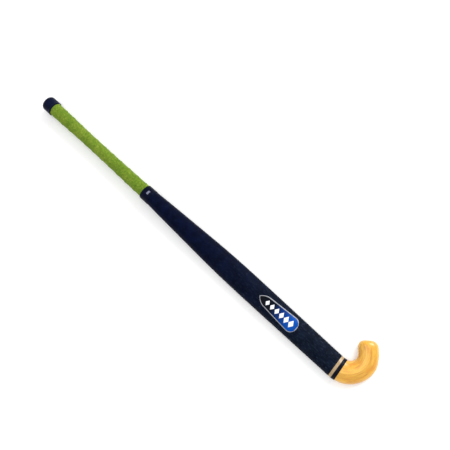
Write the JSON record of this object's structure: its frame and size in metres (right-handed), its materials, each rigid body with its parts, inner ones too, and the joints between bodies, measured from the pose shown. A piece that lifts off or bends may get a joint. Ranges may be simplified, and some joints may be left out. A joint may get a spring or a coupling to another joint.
{
  "type": "field hockey stick",
  "caption": "Right-handed field hockey stick with a round cane handle, towelling grip, cloth-wrapped shaft and a bent laminated wooden hook head.",
  "frame": {"origin": "middle of the stick's overall length and width, on the plane of the flat playing face", "axes": "+X along the handle axis from the butt cap to the head, +Y from the heel to the toe, +Z out of the rounded back"},
  "size_m": [0.9144, 0.1109, 0.0341],
  "materials": {
    "cane": "bare rattan cane",
    "rubber_strip": "matt sheet rubber",
    "mulberry": "varnished laminated mulberry",
    "twine": "waxed twine",
    "wrap": "navy pigmented resin over glass cloth",
    "trim": "tan lacquered trim band",
    "band": "navy resin band",
    "towelling": "olive green towelling",
    "cap_rubber": "moulded navy rubber, satin",
    "tape": "navy vinyl finishing tape",
    "label": "white printed film",
    "decal": "printed film, black to blue with a silver edge"
  },
  "bodies": {
    "root": {"butt_cap": "cap_rubber", "grip": "towelling", "collar_tape": "tape", "collar_label": "label", "handle_binding": "twine", "splice_binding": "twine", "shaft_wrap": "wrap", "trim_stripe": "trim", "head_band": "band", "decal": "decal", "cane_slip_1": "cane", "cane_slip_2": "cane", "cane_slip_3": "cane", "cane_slip_4": "cane", "rubber_strip_1": "rubber_strip", "rubber_strip_2": "rubber_strip", "rubber_strip_3": "rubber_strip", "head_ply_1": "mulberry", "head_ply_2": "mulberry", "head_ply_3": "mulberry", "head_ply_4": "mulberry", "head_ply_5": "mulberry"}
  },
  "joints": []
}
